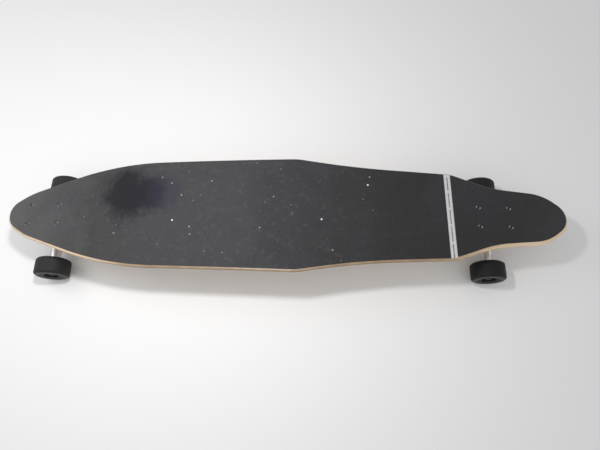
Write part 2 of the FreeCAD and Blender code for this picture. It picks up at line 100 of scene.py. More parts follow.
def plus(tree, first, second):
    return calc(tree, "ADD", first, second)


def minus(tree, first, second):
    return calc(tree, "SUBTRACT", first, second)


def absolute(tree, value):
    return calc(tree, "ABSOLUTE", value)


def times(tree, *values):
    product = values[0]
    for value in values[1:]:
        product = calc(tree, "MULTIPLY", product, value)
    return product


# A value's range from low to high, eased onto another range and held past both ends.
def spread(tree, value, low, high, toLow=0.0, toHigh=1.0, ease="SMOOTHSTEP"):
    given = {"Value": value, "From Min": low, "From Max": high, "To Min": toLow, "To Max": toHigh}
    return addNode(tree, "MapRange", given, interpolation_type=ease).outputs[0]


def cloud(tree, where, scale, detail=2.0, rough=0.5, warp=0.0):
    given = {"Vector": where, "Scale": scale, "Detail": detail, "Roughness": rough, "Distortion": warp}
    return addNode(tree, "TexNoise", given).outputs[0]


# Cloud on coordinates that are stretched by a different scale along each axis.
def grain(tree, where, stretch, detail, rough, warp=0.0):
    return cloud(tree, placed(tree, where, scale=stretch), 1.0, detail, rough, warp)


def cells(tree, where, scale):
    return addNode(tree, "TexVoronoi", {"Vector": where, "Scale": scale})


def tint(tree, factor, first, second):
    given = {0: factor, 6: first, 7: second}
    return addNode(tree, "Mix", given, data_type="RGBA", clamp_factor=True).outputs[2]


def ramp(tree, value, stops):
    item = addNode(tree, "ValToRGB", {0: value})
    band = item.color_ramp.elements
    while len(band) < len(stops):
        band.new(0.5)
    for element, (place, colour) in zip(band, stops):
        element.position = place
        element.color = colour
    return item.outputs[0]


def placed(tree, where, location=(0, 0, 0), rotation=(0, 0, 0), scale=(1, 1, 1)):
    given = {"Vector": where, "Location": location, "Rotation": rotation, "Scale": scale}
    return addNode(tree, "Mapping", given, vector_type="POINT").outputs[0]


def axes(tree, where):
    return addNode(tree, "SeparateXYZ", {0: where}).outputs


# Root of the sum of squares.
def length(tree, *values):
    squares = [times(tree, value, value) for value in values]
    total = squares[0]
    for square in squares[1:]:
        total = plus(tree, total, square)
    return calc(tree, "SQRT", total)


def relief(tree, height, strength, depth, under=None):
    given = {"Height": height, "Strength": strength, "Distance": depth}
    if under is not None:
        given["Normal"] = under
    return addNode(tree, "Bump", given).outputs[0]


edgeLook = {"cosines": (0.99, 0.86), "samples": 4}


# Wear at an edge: the cosine between the true normal and the one rounded within a radius, eased
# from none at the first cosine to full at the second.
def edges(tree, radius):
    rounded = addNode(tree, "Bevel", {"Radius": radius}, samples=edgeLook["samples"]).outputs[0]
    true = addNode(tree, "NewGeometry").outputs["Normal"]
    along = addNode(tree, "VectorMath", {0: rounded, 1: true}, operation="DOT_PRODUCT").outputs["Value"]
    return spread(tree, along, *edgeLook["cosines"])


def rgb(*levels):
    return (*levels, 1.0)


def startMaterial(name, colour, roughness, metallic=0.0, specular=0.5):
    material = bpy.data.materials.new(name)
    material.use_nodes = True
    tree = material.node_tree
    tree.nodes.clear()
    shader = addNode(tree, "BsdfPrincipled", {
        "Base Color": colour, "Roughness": roughness,
        "Metallic": metallic, "Specular IOR Level": specular})
    addNode(tree, "OutputMaterial", {"Surface": shader.outputs[0]})
    where = addNode(tree, "TexCoord").outputs["Object"]
    return material, tree, shader, where


def finish(tree, shader, colour, roughness, normal):
    tree.links.new(colour, shader.inputs["Base Color"])
    tree.links.new(roughness, shader.inputs["Roughness"])
    tree.links.new(normal, shader.inputs["Normal"])


# Height above the deck's underside: z less the arch, which is a circle in the middle
# and a straight slope past the truck seats.
def archHeight(tree, where):
    x, y, z = axes(tree, where)
    reach = absolute(tree, minus(tree, x, archMid))
    inside = calc(tree, "MINIMUM", reach, archHalf)
    rise = calc(tree, "SQRT", minus(tree, archRadius ** 2, times(tree, inside, inside)))
    beyond = times(tree, minus(tree, reach, inside), math.tan(endSlope))
    arch = minus(tree, plus(tree, rise, archCentre), beyond)
    return minus(tree, z, arch)


# In the look dictionaries below, a noise is its scale or stretch, detail, roughness and warp. A
# fade is the range of a value over which a layer comes in, and then its least and greatest share.
# A depth is a bump's strength and distance.

# Maple: long grain on the faces, plies showing as thin lines around the rim.
mapleLook = {
    "pale": rgb(0.64, 0.495, 0.34), "deep": rgb(0.47, 0.34, 0.215), "dirt": rgb(0.25, 0.18, 0.12),
    "roughness": 0.42, "specular": 0.4, "gloss": (0.3, 0.8, 0.36, 0.52),
    "figure": ((2.2, 34.0, 60.0), 5.0, 0.6, 1.2), "figureFade": (0.35, 0.7),
    "strands": ((16.0, 620.0, 620.0), 3.0, 0.6), "strandFade": (0.45, 0.75, 0.0, 0.35),
    "pores": ((60.0, 1500.0, 1500.0), 2.0, 0.5), "poreFade": (0.62, 0.75, 0.0, 0.5),
    "plies": 9.0, "cross": rgb(0.51, 0.375, 0.24), "crossShare": 0.75,
    "glue": rgb(0.22, 0.14, 0.08), "glueFade": (0.03, 0.1, 1.0, 0.0), "glueShare": 0.6,
    "lowFace": (0.0006, 0.0014), "highFace": (0.0096, 0.0104, 1.0, 0.0),
    "dirtNoise": (26.0, 4.0, 0.65), "dirtFade": (0.52, 0.78, 0.0, 0.4),
    # painted shade: the rim darker and browner along the middle of the board
    "midShade": rgb(0.205, 0.138, 0.083), "midShadeAlong": (0.46, 0.26, 0.0, 0.84),
    "midShadeUp": (0.0004, 0.002), "midShadeNoise": (60.0, 4.0, 0.6), "midShadeFade": (0.25, 0.6, 0.75, 1.0),
    # painted light: the rim paler round the tail
    "tailLit": rgb(0.88, 0.71, 0.52), "tailLitAlong": (0.36, 0.52, 0.0, 0.55), "tailLitFade": (0.3, 0.6, 0.6, 1.0),
    # the far upper edge darkened nearly black
    "farEdgeDark": rgb(0.050, 0.045, 0.040), "farEdgeDarkUp": (0.0082, 0.0097, 0.0, 0.9), "farEdgeDarkAcross": (0.0, 0.02),
    # painted shade in the bolt holes
    "holeShade": rgb(0.030, 0.028, 0.026), "holeShadeFade": (0.0058, 0.0070, 0.95, 0.0),
    "glueDepth": (0.35, -0.0002), "strandDepth": (0.16, 0.0002),
}


def makeMaple():
    look = mapleLook
    material, tree, shader, where = startMaterial(
        "mapleDeck", look["pale"], look["roughness"], 0.0, look["specular"])
    x, y, z = axes(tree, where)
    height = archHeight(tree, where)
    figure = grain(tree, where, *look["figure"])
    strands = grain(tree, where, *look["strands"])
    pores = grain(tree, where, *look["pores"])
    face = tint(tree, spread(tree, figure, *look["figureFade"]), look["pale"], look["deep"])
    face = tint(tree, spread(tree, strands, *look["strandFade"]), face, look["deep"])
    face = tint(tree, spread(tree, pores, *look["poreFade"]), face, look["dirt"])
    # every second ply runs across, and glue shows where the height is near a whole ply
    layer = times(tree, height, look["plies"] / deckShape["thickness"])
    even = calc(tree, "FLOORED_MODULO", calc(tree, "FLOOR", layer), 2.0)
    seam = minus(tree, 0.5, absolute(tree, minus(tree, calc(tree, "FRACT", layer), 0.5)))
    glue = spread(tree, seam, *look["glueFade"])
    # plies show only between the two faces
    inner = times(tree, spread(tree, height, *look["lowFace"]), spread(tree, height, *look["highFace"]))
    rim = tint(tree, times(tree, even, look["crossShare"]), face, look["cross"])
    rim = tint(tree, times(tree, glue, look["glueShare"]), rim, look["glue"])
    colour = tint(tree, inner, face, rim)
    dirt = spread(tree, cloud(tree, where, *look["dirtNoise"]), *look["dirtFade"])
    colour = tint(tree, dirt, colour, look["dirt"])
    # painted shade: the rim is browned darker along the middle of the board
    midShaded = times(tree, spread(tree, absolute(tree, x), *look["midShadeAlong"]),
                    spread(tree, height, *look["midShadeUp"]),
                    spread(tree, cloud(tree, where, *look["midShadeNoise"]), *look["midShadeFade"]))
    colour = tint(tree, midShaded, colour, look["midShade"])
    # and painted light: the rim is paler round the tail, following the grain
    tailLitShare = times(tree, spread(tree, x, *look["tailLitAlong"]), spread(tree, strands, *look["tailLitFade"]))
    colour = tint(tree, tailLitShare, colour, look["tailLit"])
    # the far upper edge is darkened nearly black
    farEdgeDark = times(tree, spread(tree, height, *look["farEdgeDarkUp"]), spread(tree, y, *look["farEdgeDarkAcross"]))
    colour = tint(tree, farEdgeDark, colour, look["farEdgeDark"])
    # painted shade in the bolt holes: the wood is darkened by the distance from the nearest bolt of the nearest
    # truck
    fromSeat = [absolute(tree, minus(tree, x, seatX[end])) for end in ends]
    alongBolt = minus(tree, calc(tree, "MINIMUM", *fromSeat), deckShape["boltSpread"][0] / 2)
    acrossBolt = minus(tree, absolute(tree, y), deckShape["boltSpread"][1] / 2)
    holeShade = spread(tree, length(tree, alongBolt, acrossBolt), *look["holeShadeFade"])
    colour = tint(tree, holeShade, colour, look["holeShade"])
    lines = relief(tree, times(tree, glue, inner), *look["glueDepth"])
    finish(tree, shader, colour, spread(tree, strands, *look["gloss"]),
           relief(tree, strands, *look["strandDepth"], lines))
    return material


# Abrasive sheet: sharp fine grit, dust and painted light that thin from nose to tail, a dark
# rubbed patch made of overlapping lobes, and pale flecks, each a spot about a place with its size.
gripLook = {
    "grain": rgb(0.014, 0.014, 0.016), "dusty": rgb(0.099, 0.099, 0.097), "scuff": rgb(0.105, 0.105, 0.108),
    "cool": rgb(0.052, 0.054, 0.072), "sparkle": rgb(0.30, 0.30, 0.31), "fleck": rgb(0.85, 0.85, 0.84),
    "roughness": 0.86, "rubbedRoughness": 0.94, "specular": 0.3,
    "span": (-0.60, 0.60),
    # dust and painted light and shade: the tone along the board, lighter at the nose where more light falls
    "dust": ((0.0, 0.099, 0.099, 0.097), (0.07, 0.089, 0.089, 0.088), (0.17, 0.049, 0.049, 0.050),
             (0.26, 0.053, 0.053, 0.056), (0.42, 0.0515, 0.0515, 0.0565), (0.50, 0.040, 0.040, 0.043),
             (0.60, 0.031, 0.031, 0.033), (0.70, 0.025, 0.025, 0.026), (0.85, 0.026, 0.026, 0.027),
             (1.0, 0.038, 0.037, 0.038)),
    "mottle": (16.0, 5.0, 0.62), "mottleShift": (0.25, 0.75, -0.035, 0.035),
    "drift": (5.5, 3.0, 0.6), "driftFade": (0.5, 0.72, 0.0, 0.22),
    "streak": ((9.0, 60.0, 1.0), 4.0, 0.6), "streakFade": (0.5, 0.85, 0.0, 0.12),
    "coarse": (620.0, 3.0, 0.7), "coarseFade": (0.46, 0.72, 0.0, 0.5), "coarseDepth": (0.35, 0.0005),
    "scuffNoise": (95.0, 3.0, 0.6), "scuffFade": (0.52, 0.74, 0.0, 0.24),
    "scuffAlong": (0.0, 0.25, 1.0, 0.25), "gritScale": 1500.0, "gritDepth": (0.5, 0.0004),
    "glintsAbove": 0.965, "glintFade": (0.18, 0.34, 0.8, 0.0),
    "lobes": (((-0.2458, 0.044), (0.036, 0.046), 0.60, rgb(0.038, 0.035, 0.052)),
              ((-0.2808, 0.043), (0.038, 0.049), 0.88, rgb(0.022, 0.020, 0.033)),
              ((-0.3278, 0.044), (0.060, 0.066), 0.98, rgb(0.0155, 0.0148, 0.0195))),
    "lobeNoise": (34.0, 6.0, 0.7), "lobeWarp": 1.3, "lobeEdge": (0.45, 1.15),
    "bright": ((-0.2278, -0.0169), (0.0762, -0.0140), (0.1720, 0.0638)),
    "medium": ((-0.0482, -0.0325), (-0.0224, 0.0350), (-0.2580, 0.0791), (-0.2138, 0.0385),
               (-0.1913, -0.0311), (0.0978, -0.0783), (-0.3464, -0.0440), (-0.1524, 0.0701),
               (-0.2368, 0.0661), (-0.1887, -0.0471), (0.1764, 0.0822)),
    "faint": ((-0.1729, 0.0382), (-0.1884, 0.0257), (-0.0394, 0.0227), (0.0140, 0.0165),
              (0.0164, -0.0032), (-0.0088, 0.0980), (-0.0600, 0.1119), (-0.2022, 0.0923),
              (-0.1562, -0.0827), (-0.1201, -0.0857), (-0.2527, -0.0681), (-0.3434, -0.0267),
              (-0.4148, -0.0080), (0.1611, 0.0320), (0.1808, 0.0081), (0.1143, -0.0995)),
    "fleckSize": {"bright": (0.0021, 0.90), "medium": (0.0016, 0.42), "faint": (0.0015, 0.17)},
    "fleckCore": 0.65, "fleckRagged": (0.3, 0.7, -0.0004, 0.0004),
}


def makeGrip():
    look = gripLook
    material, tree, shader, where = startMaterial(
        "gripGrit", look["grain"], look["roughness"], 0.0, look["specular"])
    x, y, z = axes(tree, where)
    grit = cells(tree, where, look["gritScale"])
    coarse = cloud(tree, where, *look["coarse"])
    mottle = cloud(tree, where, *look["mottle"])
    drift = cloud(tree, where, *look["drift"])
    streak = grain(tree, where, *look["streak"])
    along = spread(tree, x, *look["span"], ease="LINEAR")
    along = plus(tree, along, spread(tree, mottle, *look["mottleShift"]))
    # dust and painted light along the board, lighter toward the nose
    colour = ramp(tree, along, [(place, rgb(*levels)) for place, *levels in look["dust"]])
    colour = tint(tree, spread(tree, drift, *look["driftFade"]), colour, look["cool"])
    colour = tint(tree, spread(tree, streak, *look["streakFade"]), colour, look["dusty"])
    colour = tint(tree, spread(tree, coarse, *look["coarseFade"]), colour, look["grain"])
    scuffs = times(tree, spread(tree, cloud(tree, where, *look["scuffNoise"]), *look["scuffFade"]),
                   spread(tree, x, *look["scuffAlong"]))
    colour = tint(tree, scuffs, colour, look["scuff"])
    # a lobe is an ellipse with a ragged edge
    warp = times(tree, minus(tree, cloud(tree, where, *look["lobeNoise"]), 0.5), look["lobeWarp"])
    rubbed = None
    for centre, size, strength, dark in look["lobes"]:
        away = length(tree, times(tree, minus(tree, x, centre[0]), 1 / size[0]),
                      times(tree, minus(tree, y, centre[1]), 1 / size[1]))
        lobe = spread(tree, plus(tree, away, warp), *look["lobeEdge"], strength, 0.0)
        colour = tint(tree, lobe, colour, dark)
        rubbed = lobe if rubbed is None else calc(tree, "MAXIMUM", rubbed, lobe)
    # single grains glint outside the rubbed patch
    chosen = calc(tree, "GREATER_THAN", axes(tree, grit.outputs["Color"])[0], look["glintsAbove"])
    glint = times(tree, chosen, spread(tree, grit.outputs["Distance"], *look["glintFade"]),
                  minus(tree, 1.0, rubbed))
    colour = tint(tree, glint, colour, look["sparkle"])
    ragged = spread(tree, coarse, *look["fleckRagged"])
    for kind, (size, strength) in look["fleckSize"].items():
        for place in look[kind]:
            away = length(tree, minus(tree, x, place[0]), minus(tree, y, place[1]))
            spot = spread(tree, plus(tree, away, ragged), size * look["fleckCore"], size, strength, 0.0)
            colour = tint(tree, spot, colour, look["fleck"])
    bumps = relief(tree, grit.outputs["Distance"], *look["gritDepth"])
    rough = spread(tree, rubbed, 0.0, 1.0, look["roughness"], look["rubbedRoughness"])
    finish(tree, shader, colour, rough, relief(tree, coarse, *look["coarseDepth"], bumps))
    return material


# Printed vinyl: pale, with a row of plain thin dark dashes along its middle. A dash is inked for
# its fill of each step across the board.
stripLook = {
    "white": rgb(0.58, 0.58, 0.575), "grime": rgb(0.33, 0.33, 0.325), "ink": rgb(0.045, 0.045, 0.048),
    "roughness": 0.55, "specular": 0.35, "gloss": (0.0, 0.6, 0.5, 0.72),
    "dash": 0.0368, "fill": 0.86, "phase": 1.0121, "dashFade": (0.00096, 0.0015, 1.0, 0.0),
    "wornNoise": (700.0, 3.0, 0.7), "wornFade": (0.36, 0.64, 0.42, 0.95),
    "grimeNoise": (160.0, 4.0, 0.7), "grimeFade": (0.48, 0.8, 0.0, 0.6),
    "border": (0.0011, 0.0002), "borderShare": 0.7, "pebble": (1500.0, 2.0), "pebbleDepth": (0.2, 0.0002),
}


def makeStrip():
    look = stripLook
    low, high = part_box("grip_strip")
    middle = (low.x + high.x) / 2
    half = (high.x - low.x) / 2
    material, tree, shader, where = startMaterial(
        "stripVinyl", look["white"], look["roughness"], 0.0, look["specular"])
    x, y, z = axes(tree, where)
    run = calc(tree, "FRACT", times(tree, plus(tree, y, look["phase"]), 1 / look["dash"]))
    inRun = calc(tree, "LESS_THAN", run, look["fill"])
    across = absolute(tree, minus(tree, x, middle))
    inBand = spread(tree, across, *look["dashFade"])
    worn = spread(tree, cloud(tree, where, *look["wornNoise"]), *look["wornFade"])
    grime = spread(tree, cloud(tree, where, *look["grimeNoise"]), *look["grimeFade"])
    innerEdge, outerEdge = look["border"]
    border = spread(tree, across, half - innerEdge, half - outerEdge, 0.0, look["borderShare"])
    colour = tint(tree, grime, look["white"], look["grime"])
    colour = tint(tree, border, colour, look["grime"])
    colour = tint(tree, times(tree, inRun, inBand, worn), colour, look["ink"])
    pebble = relief(tree, cloud(tree, where, *look["pebble"]), *look["pebbleDepth"])
    finish(tree, shader, colour, spread(tree, grime, *look["gloss"]), pebble)
    return material


# Moulded black rubber or plastic: fine pebble, faint dust, paler rubbed edges.
mouldedLook = {
    "specular": 0.35, "fine": (3.0, 0.6), "fineFade": (0.35, 0.7), "paler": 1.5,
    "dustNoise": (70.0, 5.0, 0.65), "dustFade": (0.45, 0.8, 0.0, 0.6), "dustRougher": 0.2,
    "edge": 0.0006, "edgeShare": 0.5, "depth": 0.0002,
}


def makeMoulded(name, colour, dust, roughness, pebble, strength):
    look = mouldedLook
    material, tree, shader, where = startMaterial(name, rgb(*colour), roughness, 0.0, look["specular"])
    fine = cloud(tree, where, pebble, *look["fine"])
    dusty = spread(tree, cloud(tree, where, *look["dustNoise"]), *look["dustFade"])
    paler = rgb(*[level * look["paler"] for level in colour])
    base = tint(tree, spread(tree, fine, *look["fineFade"]), rgb(*colour), paler)
    base = tint(tree, dusty, base, rgb(*dust))
    base = tint(tree, times(tree, edges(tree, look["edge"]), look["edgeShare"]), base, rgb(*dust))
    dustiest = look["dustFade"][3]
    rough = spread(tree, dusty, 0.0, dustiest, roughness, min(roughness + look["dustRougher"], 1.0))
    finish(tree, shader, base, rough, relief(tree, fine, strength, look["depth"]))
    return material


# Cast and tumbled aluminium: soft orange-peel skin, a few dark pits, oily stains, bright edges,
# and a painted dark reflection on the hanger's ends, which grows with the distance across the board.
castLook = {
    "metal": rgb(0.81, 0.81, 0.82), "roughness": 0.34, "skin": (420.0, 4.0, 0.6), "skinDepth": (0.14, 0.0004),
    "stain": rgb(0.45, 0.44, 0.43), "stainNoise": (45.0, 5.0, 0.6), "stainFade": (0.5, 0.8, 0.0, 0.6),
    "stainRough": (0.3, 0.8, 0.28, 0.52),
    "pit": rgb(0.22, 0.22, 0.22), "pitScale": 520.0, "pitFade": (0.05, 0.16, 1.0, 0.0), "pitShare": 0.35,
    "edge": rgb(0.90, 0.90, 0.91), "edgeReach": 0.0009, "edgeShare": 0.7, "edgePolish": 0.08,
    # painted reflection: the hanger's ends darkened, as if reflecting the shade under the deck
    "paintedReflection": rgb(0.30, 0.297, 0.293), "paintedReflectionAcross": (0.050, 0.066), "paintedReflectionFade": (0.3, 0.6, 0.3, 0.55),
}


def makeCasting():
    look = castLook
    material, tree, shader, where = startMaterial("castAluminium", look["metal"], look["roughness"], 1.0)
    skin = cloud(tree, where, *look["skin"])
    stain = cloud(tree, where, *look["stainNoise"])
    pits = spread(tree, cells(tree, where, look["pitScale"]).outputs["Distance"], *look["pitFade"])
    wear = edges(tree, look["edgeReach"])
    colour = tint(tree, spread(tree, stain, *look["stainFade"]), look["metal"], look["stain"])
    colour = tint(tree, times(tree, pits, look["pitShare"]), colour, look["pit"])
    colour = tint(tree, times(tree, wear, look["edgeShare"]), colour, look["edge"])
    # painted reflection: the hanger's ends darkened with the distance across the board
    reflectionShare = times(tree, spread(tree, absolute(tree, axes(tree, where)[1]), *look["paintedReflectionAcross"]),
                   spread(tree, stain, *look["paintedReflectionFade"]))
    colour = tint(tree, reflectionShare, colour, look["paintedReflection"])
    rough = minus(tree, spread(tree, stain, *look["stainRough"]), times(tree, wear, look["edgePolish"]))
    finish(tree, shader, colour, rough, relief(tree, skin, *look["skinDepth"]))
    return material


# Plated or ground steel: fine turning marks along one axis, light tarnish, bright edges.
steelLook = {
    "marks": (3.0, 0.6), "markFade": (0.3, 0.7), "markRough": (0.75, 1.35), "markDepth": (0.08, 0.0002),
    "tarnishNoise": (130.0, 5.0, 0.65), "tarnishFade": (0.5, 0.78), "tarnished": 0.35,
    "edge": 0.0004, "edgeShare": 0.6, "edgeBrighter": 1.35, "brightest": 0.9,
}


def makeSteel(name, colour, roughness, lines, tarnish):
    look = steelLook
    material, tree, shader, where = startMaterial(name, rgb(*colour), roughness, 1.0)
    marks = grain(tree, where, lines, *look["marks"])
    spots = spread(tree, cloud(tree, where, *look["tarnishNoise"]), *look["tarnishFade"], 0.0, tarnish)
    dull = rgb(*[level * look["tarnished"] for level in colour])
    bright = rgb(*[min(level * look["edgeBrighter"], look["brightest"]) for level in colour])
    base = tint(tree, spots, rgb(*colour), dull)
    base = tint(tree, times(tree, edges(tree, look["edge"]), look["edgeShare"]), base, bright)
    smooth, coarse = [roughness * share for share in look["markRough"]]
    rough = spread(tree, marks, *look["markFade"], smooth, coarse)
    finish(tree, shader, base, rough, relief(tree, marks, *look["markDepth"]))
    return material


# Wheel urethane about one axle: dusty tread, paler at the nose as painted light, a paler rubbed
# lip, faint mould rings. The radius is the distance from the axle line, and across is the distance
# from the tread's middle.
wheelLook = {
    "black": rgb(0.0042, 0.0042, 0.0047), "lip": rgb(0.066, 0.066, 0.066),
    # dust and painted light: the nose wheels' tread lighter, the tail wheels' darker, where less light falls
    "dust": {"nose": rgb(0.019, 0.0185, 0.018), "tail": rgb(0.0075, 0.0075, 0.0077)},
    "sheen": {"nose": 0.36, "tail": 0.27}, "roughness": 0.65, "gloss": (0.3, 0.8, 0.56, 0.76),
    "offset": 0.006, "scuff": (240.0, 5.0, 0.7), "scuffDepth": (0.18, 0.0004), "broad": (38.0, 3.0, 0.6),
    "treadOut": (0.0348, 0.0358), "treadScuff": (0.3, 0.75, 0.15, 0.8), "treadBroad": (0.3, 0.7, 0.5, 1.0),
    "lipAcross": (0.0168, 0.0186), "lipOut": (0.0235, 0.0265), "lipScuff": (0.25, 0.7, 0.45, 1.0),
    "rings": 9000.0, "ringDepth": (0.03, 0.0001),
}


def makeUrethane(wheel):
    look = wheelLook
    end = wheel.split("_")[0]
    centre = np.array(jointOf[wheel + "_spin"]["pos_m"], float)
    centre[1] += math.copysign(look["offset"], centre[1])
    material, tree, shader, where = startMaterial(
        wheel + "_urethane", look["black"], look["roughness"], 0.0, look["sheen"][end])
    x, y, z = axes(tree, placed(tree, where, tuple(-centre)))
    radius = length(tree, x, z)
    across = absolute(tree, y)
    scuff = cloud(tree, where, *look["scuff"])
    broad = cloud(tree, where, *look["broad"])
    tread = times(tree, spread(tree, radius, *look["treadOut"]), spread(tree, scuff, *look["treadScuff"]),
                  spread(tree, broad, *look["treadBroad"]))
    lip = times(tree, spread(tree, across, *look["lipAcross"]), spread(tree, radius, *look["lipOut"]),
                spread(tree, scuff, *look["lipScuff"]))
    # tread dust, lighter on the nose wheels as painted light
    colour = tint(tree, tread, look["black"], look["dust"][end])
    colour = tint(tree, lip, colour, look["lip"])
    rings = calc(tree, "SINE", times(tree, plus(tree, radius, across), look["rings"]))
    bumps = relief(tree, rings, *look["ringDepth"])
    finish(tree, shader, colour, spread(tree, scuff, *look["gloss"]),
           relief(tree, scuff, *look["scuffDepth"], bumps))
    return material


# Blackened bolts: matt black heads with painted highlights, bare metal on two sides of each head
# where the glints fall, and a rubbed ring at the rim. Places are measured from the nearest bolt in
# the truck's own frame. A side is where the direction from the bolt's middle lies along the given turn.
boltLook = {
    "black": {"nose": rgb(0.052, 0.052, 0.052), "tail": rgb(0.020, 0.020, 0.021)},
    "bare": rgb(0.78, 0.77, 0.75), "roughness": 0.45, "gloss": (0.0, 1.0, 0.62, 0.42),
    "scuff": (900.0, 4.0, 0.7), "scuffDepth": (0.15, 0.0001), "middle": 0.0001,
    # painted highlights: their side and strength at each end
    "turn": {"nose": 0.45, "tail": -0.38}, "shine": {"nose": 0.25, "tail": 0.60},
    "highlightOut": (0.0026, 0.0034), "highlightSide": (0.80, 0.95), "highlightFade": (0.32, 0.55, 0.5, 1.0),
    "rimOut": (0.00399, 0.004655), "rimFade": (0.5, 0.7), "rimShare": 0.5,
}


def makeBolts(end):
    look = boltLook
    shine = look["shine"][end]
    material, tree, shader, where = startMaterial(end + "_blackBolts", look["black"][end], look["roughness"])
    seated = placed(tree, where, (-seatX[end], 0.0, -seatZ))
    x, y, z = axes(tree, placed(tree, seated, rotation=(0.0, -endSlope * sideOf[end], 0.0)))
    alongBolt = minus(tree, x, times(tree, calc(tree, "SIGN", x), deckShape["boltSpread"][0] / 2))
    acrossBolt = minus(tree, y, times(tree, calc(tree, "SIGN", y), deckShape["boltSpread"][1] / 2))
    radius = length(tree, alongBolt, acrossBolt)
    turn = look["turn"][end]
    toward = plus(tree, times(tree, alongBolt, math.cos(turn)), times(tree, acrossBolt, math.sin(turn)))
    side = calc(tree, "DIVIDE", absolute(tree, toward), plus(tree, radius, look["middle"]))
    scuff = cloud(tree, where, *look["scuff"])
    # painted highlights: bare metal on the two sides of each head where the glints fall
    paintedHighlights = times(tree, spread(tree, radius, *look["highlightOut"]), spread(tree, side, *look["highlightSide"]),
                  spread(tree, scuff, *look["highlightFade"]), shine)
    rim = times(tree, spread(tree, radius, *look["rimOut"]),
                spread(tree, scuff, *look["rimFade"], 0.0, look["rimShare"] * shine))
    rubbed = calc(tree, "MAXIMUM", paintedHighlights, rim)
    colour = tint(tree, rubbed, look["black"][end], look["bare"])
    tree.links.new(rubbed, shader.inputs["Metallic"])
    finish(tree, shader, colour, spread(tree, rubbed, *look["gloss"]),
           relief(tree, scuff, *look["scuffDepth"]))
    return material


def paint(obj, material):
    obj.data.materials.clear()
    obj.data.materials.append(material)


# Steels: colour, roughness, stretch of the turning marks, tarnish. Mouldings: colour, dust,
# roughness, pebble scale, pebble strength.
steelKinds = {
    "kingpin_steel": ((0.50, 0.50, 0.52), 0.34, (900.0, 60.0, 900.0), 0.5),
    "fastener_steel": ((0.60, 0.60, 0.62), 0.30, (700.0, 700.0, 90.0), 0.45),
    "washer_steel": ((0.60, 0.60, 0.61), 0.32, (800.0, 800.0, 120.0), 0.5),
    "axle_steel": ((0.56, 0.56, 0.57), 0.30, (900.0, 80.0, 900.0), 0.5),
    "bearing_steel": ((0.64, 0.64, 0.66), 0.22, (600.0, 900.0, 600.0), 0.25),
    "shield_metal": ((0.30, 0.30, 0.31), 0.42, (600.0, 300.0, 600.0), 0.35),
    # painted shade: near-black steel for the axles and their nuts, which sit deep in the shaded wheel hubs
    "hubShadeSteel": ((0.050, 0.049, 0.048), 0.52, (700.0, 90.0, 700.0), 0.7),
}
mouldedKinds = {
    "riser_rubber": ((0.016, 0.016, 0.017), (0.085, 0.08, 0.075), 0.7, 900.0, 0.25),
    "pivot_plastic": ((0.02, 0.02, 0.022), (0.06, 0.06, 0.06), 0.45, 1200.0, 0.1),
    "bushing_urethane": ((0.05, 0.045, 0.04), (0.12, 0.115, 0.11), 0.42, 500.0, 0.12),
    "core_plastic": ((0.010, 0.010, 0.011), (0.035, 0.035, 0.035), 0.5, 1400.0, 0.15),
}
# painted shade: the axles and nuts that take the near-black steel of the shaded hubs
hubShadeNodes = ("axle", "axle_nuts")
finishes = {name: makeSteel(name, *values) for name, values in steelKinds.items()}
finishes.update({name: makeMoulded(name, *values) for name, values in mouldedKinds.items()})
finishes["deck_wood"] = makeMaple()
finishes["grip_black"] = makeGrip()
finishes["strip_white"] = makeStrip()
finishes["truck_casting"] = makeCasting()
boltFinish = {end: makeBolts(end) for end in ends}
wheelFinish = {wheel: makeUrethane(wheel) for wheel in wheels}
for name, obj in nodes.items():
    slotName = slotOf[name]
    if slotName == "bolt_black":
        paint(obj, boltFinish[name.split("_")[0]])
    elif name.partition("_")[2] in hubShadeNodes:
        paint(obj, finishes["hubShadeSteel"])
    elif slotName == "wheel_urethane":
        paint(obj, wheelFinish["_".join(name.split("_")[:2])])
    else:
        paint(obj, finishes[slotName])
print("finishes:", len(bpy.data.materials), "materials")


# Grid of points, rows by columns, made a mesh. Rows or columns may close on themselves.
def gridMesh(name, points, closeRows=False, closeColumns=False, flip=False):
    rows, columns = points.shape[:2]
    down = np.arange(rows if closeRows else rows - 1)
    along = np.arange(columns if closeColumns else columns - 1)
    i, j = np.meshgrid(down, along, indexing="ij")
    nextI, nextJ = (i + 1) % rows, (j + 1) % columns
    corners = [i * columns + j, i * columns + nextJ, nextI * columns + nextJ, nextI * columns + j]
    quads = np.stack(corners, -1).reshape(-1, 4)
    if flip:
        quads = quads[:, ::-1]
    mesh = bpy.data.meshes.new(name)
    mesh.from_pydata(points.reshape(-1, 3), [], quads.tolist())
    mesh.polygons.foreach_set("use_smooth", np.ones(len(mesh.polygons), bool))
    mesh.update()
    obj = bpy.data.objects.new(name, mesh)
    bpy.context.scene.collection.objects.link(obj)
    return obj


# Profile of radius and height carried round an axis: centre + height * axis + radius * circle.
def turnedPoints(profile, centre, axis, steps):
    axis = np.asarray(axis, float) / np.linalg.norm(axis)
    side = np.cross(axis, (0.0, 1.0, 0.0))
    if np.linalg.norm(side) < 1e-6:
        side = np.array([1.0, 0.0, 0.0])
    side = side / np.linalg.norm(side)
    other = np.cross(axis, side)
    turn = np.linspace(0.0, 2 * np.pi, steps, endpoint=False)
    circle = np.cos(turn)[:, None] * side + np.sin(turn)[:, None] * other
    return np.asarray(centre, float) + profile[..., 1, None] * axis + profile[..., 0, None] * circle[None]


def turnedPiece(name, profile, centre, axis, steps):
    profile = np.repeat(np.asarray(profile, float)[:, None], steps, axis=1)
    return gridMesh(name, turnedPoints(profile, centre, axis, steps), closeRows=True, closeColumns=True)


